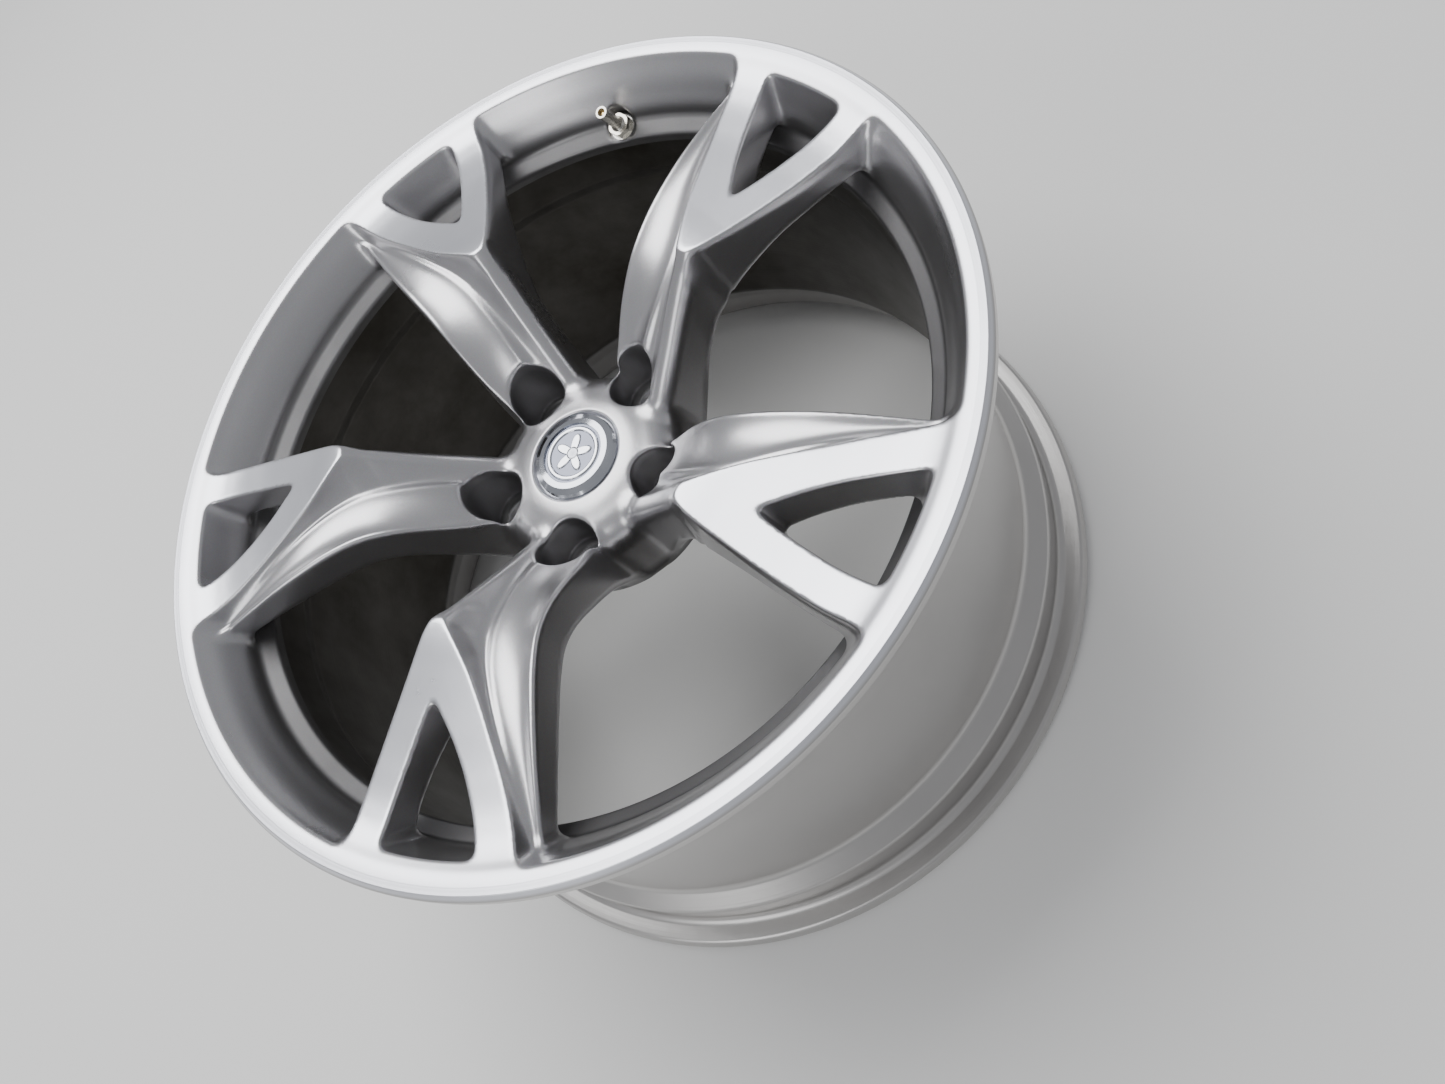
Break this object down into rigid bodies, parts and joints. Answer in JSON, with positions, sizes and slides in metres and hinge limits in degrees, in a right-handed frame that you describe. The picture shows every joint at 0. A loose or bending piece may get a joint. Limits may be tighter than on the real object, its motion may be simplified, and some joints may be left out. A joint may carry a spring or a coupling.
{
  "type": "forged wheel rim",
  "caption": "Forged racing wheel rim with twisted spokes on a deep drop-centre barrel, snap-in centre cap and tyre valve with pressure sensor.",
  "frame": {"origin": "centre of the hub mounting face, on the axle line", "axes": "+Z along the axle line towards the street side, so the wheel lies on its inboard flange with its face up; +X towards the valve side"},
  "size_m": [0.518, 0.518, 0.2851],
  "materials": {
    "forging_barrel": "satin clear over bare forging",
    "forging_face": "gloss smoked silver paint with clear coat",
    "cap_plating": "bright plated",
    "badge": "dark satin",
    "steel": "plated",
    "valve_metal": "nickel plated",
    "rubber": "matt",
    "brass": "turned",
    "sensor_plastic": "matt",
    "potting": "satin",
    "board": "solder mask"
  },
  "bodies": {
    "wheel": {"rim_barrel": "forging_barrel", "hub_centre": "forging_face", "spoke_1": "forging_face", "spoke_2": "forging_face", "spoke_3": "forging_face", "spoke_4": "forging_face", "spoke_5": "forging_face", "valve_stem": "valve_metal", "valve_grommet": "rubber", "valve_washer": "steel", "valve_nut": "valve_metal", "core_body": "brass", "core_seal": "rubber", "core_spring": "steel", "tpms_housing": "sensor_plastic", "tpms_cover": "potting", "tpms_board": "board", "tpms_battery": "steel", "tpms_screw": "steel"},
    "cap": {"centre_cap": "cap_plating", "cap_badge": "badge", "cap_spring_ring": "steel"},
    "valve_pin": {"core_pin": "brass", "core_cup": "rubber"}
  },
  "joints": [
    {"name": "cap_pull", "type": "slide", "parent": "wheel", "child": "cap", "axis": [0, 0, 1], "range_m": [0, 0.03]},
    {"name": "valve_pin_press", "type": "slide", "parent": "wheel", "child": "valve_pin", "axis": [0.3395, 0.0417, -0.9397], "range_m": [0, 0.0012], "stiffness_N_per_m": 1500, "springref_m": -0.0005}
  ]
}
